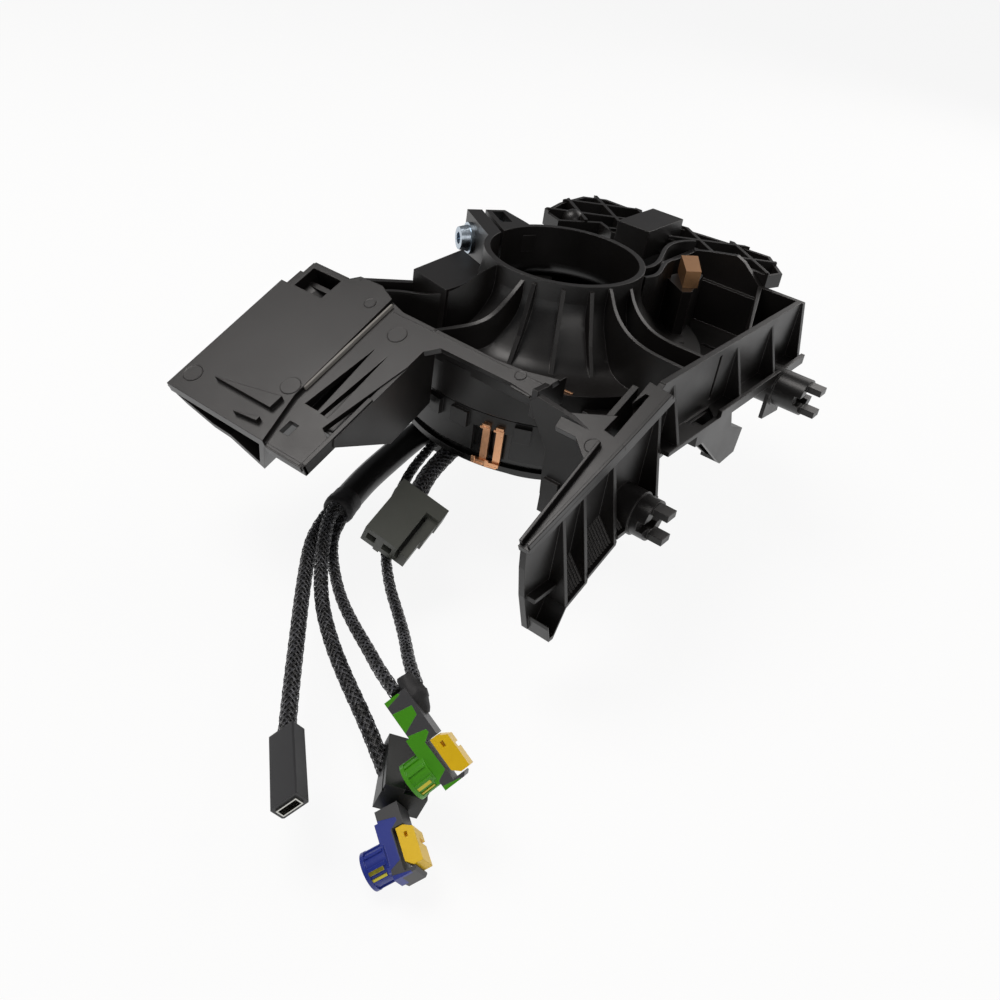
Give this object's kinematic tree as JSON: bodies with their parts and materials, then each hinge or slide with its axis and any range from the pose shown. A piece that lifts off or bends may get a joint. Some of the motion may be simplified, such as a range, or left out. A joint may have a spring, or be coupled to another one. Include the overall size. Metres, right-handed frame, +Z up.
{
  "type": "steering clock spring",
  "caption": "Steering column housing with a split clamp collar, a turning clock spring drum, a switch box, a side pocket and leads to the steering wheel's plugs.",
  "frame": {"origin": "centre of the clamp collar's top edge, on the steering axis", "axes": "+Z up the steering column, away from the wheel; -Y towards the switch box's mouth; +X towards the pocket's panel with the two pegs"},
  "size_m": [0.159, 0.2586, 0.0928],
  "materials": {
    "housing_plastic": "satin moulding",
    "drum_plastic": "satin moulding",
    "zinc_steel": "zinc plated",
    "sintered_brass": "dull",
    "copper_strip": "bare strip",
    "ribbon_film": "polyester film",
    "smooth_sleeve": "satin",
    "braided_sleeve": "braided",
    "dark_grey_plastic": "fine grain",
    "grey_plastic": "fine grain",
    "tin_plate": "tin plated",
    "green_plastic": "moulded",
    "blue_plastic": "moulded",
    "yellow_plastic": "moulded",
    "coupler_plastic": "satin",
    "cloth_tape": "wound tape"
  },
  "bodies": {
    "housing": {"housing": "housing_plastic", "rear_grid": "housing_plastic", "clamp_screw": "zinc_steel", "clamp_washer": "zinc_steel", "clamp_nut": "zinc_steel", "contact_block": "sintered_brass", "catch_lever": "housing_plastic", "stator_case": "drum_plastic", "stator_rim": "drum_plastic", "case_screws": "zinc_steel", "ribbon_cable": "ribbon_film", "contact_carrier": "drum_plastic", "contact_left": "copper_strip", "contact_right": "copper_strip"},
    "rotor": {"rotor_hub": "drum_plastic", "rotor_ring": "drum_plastic", "rotor_cover": "drum_plastic", "sleeve": "smooth_sleeve", "sleeve_cuff": "smooth_sleeve", "lead_a": "braided_sleeve", "lead_b": "braided_sleeve", "lead_c": "braided_sleeve", "lead_d": "braided_sleeve", "lead_e": "smooth_sleeve", "slim_plug": "dark_grey_plastic", "slim_shell": "tin_plate", "grey_plug": "grey_plastic", "grey_terminals": "tin_plate", "green_shell": "dark_grey_plastic", "green_core": "green_plastic", "blue_shell": "dark_grey_plastic", "blue_core": "blue_plastic", "coupler": "coupler_plastic", "tape_wrap": "cloth_tape"},
    "green_lock": {"green_lock": "yellow_plastic"},
    "blue_lock": {"blue_lock": "yellow_plastic"}
  },
  "joints": [
    {"name": "drum_turn", "type": "hinge", "parent": "housing", "child": "rotor", "pos_m": [0, 0, -0.055], "axis": [0, 0, 1], "range_deg": [-900, 900]},
    {"name": "green_lock_push", "type": "slide", "parent": "rotor", "child": "green_lock", "axis": [-0.3588, -0.7004, -0.617], "range_m": [0, 0.0008]},
    {"name": "blue_lock_push", "type": "slide", "parent": "rotor", "child": "blue_lock", "axis": [-0.4922, -0.6862, -0.5355], "range_m": [0, 0.0008]}
  ]
}
